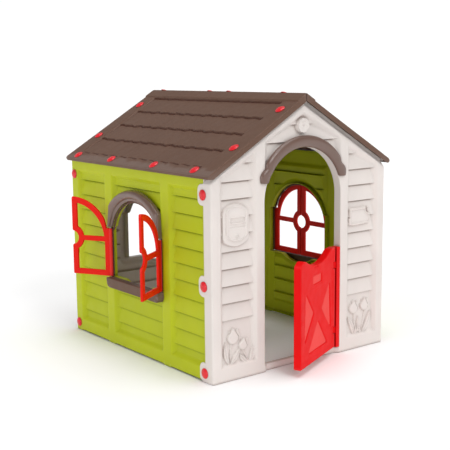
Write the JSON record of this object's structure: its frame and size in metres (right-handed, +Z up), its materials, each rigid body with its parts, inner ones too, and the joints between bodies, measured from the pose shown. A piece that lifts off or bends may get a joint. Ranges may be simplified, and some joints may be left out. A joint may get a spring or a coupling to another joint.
{
  "type": "plastic playhouse",
  "caption": "Small plastic playhouse with a pitched roof, an arched doorway with a half door, and arched side windows with opening shutter pairs.",
  "frame": {"origin": "on the ground, under the middle of the house's four walls", "axes": "+Z up, +X to the right along the front wall as seen from outside, +Y from the front wall to the back wall"},
  "size_m": [1.2071, 1.3088, 1.1816],
  "materials": {
    "white": "off-white moulded polypropylene, fine satin texture",
    "green": "lime green moulded polypropylene, fine satin texture",
    "brown": "brown moulded polypropylene, soft satin",
    "door_red": "red moulded polypropylene, satin",
    "shutter_red": "orange-red moulded polypropylene, satin",
    "plug_red": "red moulded plastic, slightly glossy",
    "pin_grey": "grey nylon rod"
  },
  "bodies": {
    "house": {"back_left_plugs": "plug_red", "back_right_plugs": "plug_red", "back_wall": "white", "door_arch": "brown", "door_hinge_pin": "pin_grey", "door_hinge_post": "door_red", "front_left_plugs": "plug_red", "front_right_plugs": "plug_red", "front_wall": "white", "left_eave_plugs": "plug_red", "left_roof": "brown", "left_shutter_back_pin": "pin_grey", "left_shutter_front_pin": "pin_grey", "left_verge_plugs": "plug_red", "left_wall": "green", "left_window_arch": "brown", "left_window_sill": "brown", "ridge_plugs": "plug_red", "right_eave_plugs": "plug_red", "right_roof": "brown", "right_shutter_back_pin": "pin_grey", "right_shutter_front_pin": "pin_grey", "right_verge_plugs": "plug_red", "right_wall": "green", "right_window_arch": "brown", "right_window_sill": "brown"},
    "door": {"door_leaf": "door_red"},
    "left_front_shutter": {"left_shutter_front": "shutter_red"},
    "left_back_shutter": {"left_shutter_back": "shutter_red"},
    "right_front_shutter": {"right_shutter_front": "shutter_red"},
    "right_back_shutter": {"right_shutter_back": "shutter_red"}
  },
  "joints": [
    {"name": "door_hinge", "type": "hinge", "parent": "house", "child": "door", "pos_m": [0.182, -0.5495, 0.26], "axis": [0, 0, 1], "range_deg": [-24.7, 65.3]},
    {"name": "left_front_shutter_hinge", "type": "hinge", "parent": "house", "child": "left_front_shutter", "pos_m": [-0.5048, -0.203, 0.445], "axis": [0, 0, 1], "range_deg": [-123, 47]},
    {"name": "left_back_shutter_hinge", "type": "hinge", "parent": "house", "child": "left_back_shutter", "pos_m": [-0.5048, 0.203, 0.445], "axis": [0, 0, 1], "range_deg": [-20, 150]},
    {"name": "right_front_shutter_hinge", "type": "hinge", "parent": "house", "child": "right_front_shutter", "pos_m": [0.5048, -0.203, 0.445], "axis": [0, 0, 1], "range_deg": [-170, 0]},
    {"name": "right_back_shutter_hinge", "type": "hinge", "parent": "house", "child": "right_back_shutter", "pos_m": [0.5048, 0.203, 0.445], "axis": [0, 0, 1], "range_deg": [0, 170]}
  ]
}
